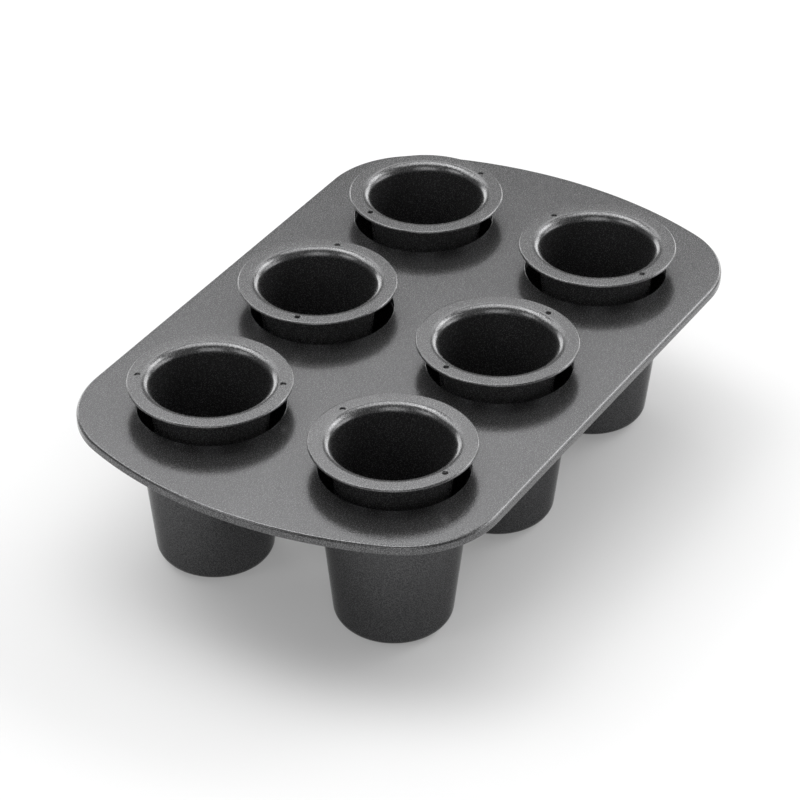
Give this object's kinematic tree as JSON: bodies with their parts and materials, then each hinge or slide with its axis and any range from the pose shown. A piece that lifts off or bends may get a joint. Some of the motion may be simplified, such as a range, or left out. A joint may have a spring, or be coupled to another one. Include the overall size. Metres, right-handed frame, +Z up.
{
  "type": "cookie shot glass pan",
  "caption": "Skirted baking tray with deep tapered cups fixed under it and a loose flanged insert standing in each cup, for baking cup-shaped cookies.",
  "frame": {"origin": "under the middle of the tray, on the plane that the cups' floors stand on", "axes": "+X along the tray's length, +Y across its width, +Z up out of the cups"},
  "size_m": [0.2746, 0.1756, 0.0792],
  "materials": {
    "tray_coating": "speckled charcoal non-stick coating, satin",
    "cup_coating": "speckled charcoal non-stick coating, satin",
    "insert_coating": "speckled charcoal non-stick coating, satin"
  },
  "bodies": {
    "pan": {"tray": "tray_coating", "cup_front_left": "cup_coating", "cup_front_middle": "cup_coating", "cup_front_right": "cup_coating", "cup_back_left": "cup_coating", "cup_back_middle": "cup_coating", "cup_back_right": "cup_coating"},
    "insert_front_left": {"insert_front_left": "insert_coating"},
    "insert_front_middle": {"insert_front_middle": "insert_coating"},
    "insert_front_right": {"insert_front_right": "insert_coating"},
    "insert_back_left": {"insert_back_left": "insert_coating"},
    "insert_back_middle": {"insert_back_middle": "insert_coating"},
    "insert_back_right": {"insert_back_right": "insert_coating"}
  },
  "joints": [
    {"name": "lift_front_left", "type": "slide", "parent": "pan", "child": "insert_front_left", "axis": [0, 0, 1], "range_m": [0, 0.075]},
    {"name": "lift_front_middle", "type": "slide", "parent": "pan", "child": "insert_front_middle", "axis": [0, 0, 1], "range_m": [0, 0.075]},
    {"name": "lift_front_right", "type": "slide", "parent": "pan", "child": "insert_front_right", "axis": [0, 0, 1], "range_m": [0, 0.075]},
    {"name": "lift_back_left", "type": "slide", "parent": "pan", "child": "insert_back_left", "axis": [0, 0, 1], "range_m": [0, 0.075]},
    {"name": "lift_back_middle", "type": "slide", "parent": "pan", "child": "insert_back_middle", "axis": [0, 0, 1], "range_m": [0, 0.075]},
    {"name": "lift_back_right", "type": "slide", "parent": "pan", "child": "insert_back_right", "axis": [0, 0, 1], "range_m": [0, 0.075]}
  ]
}
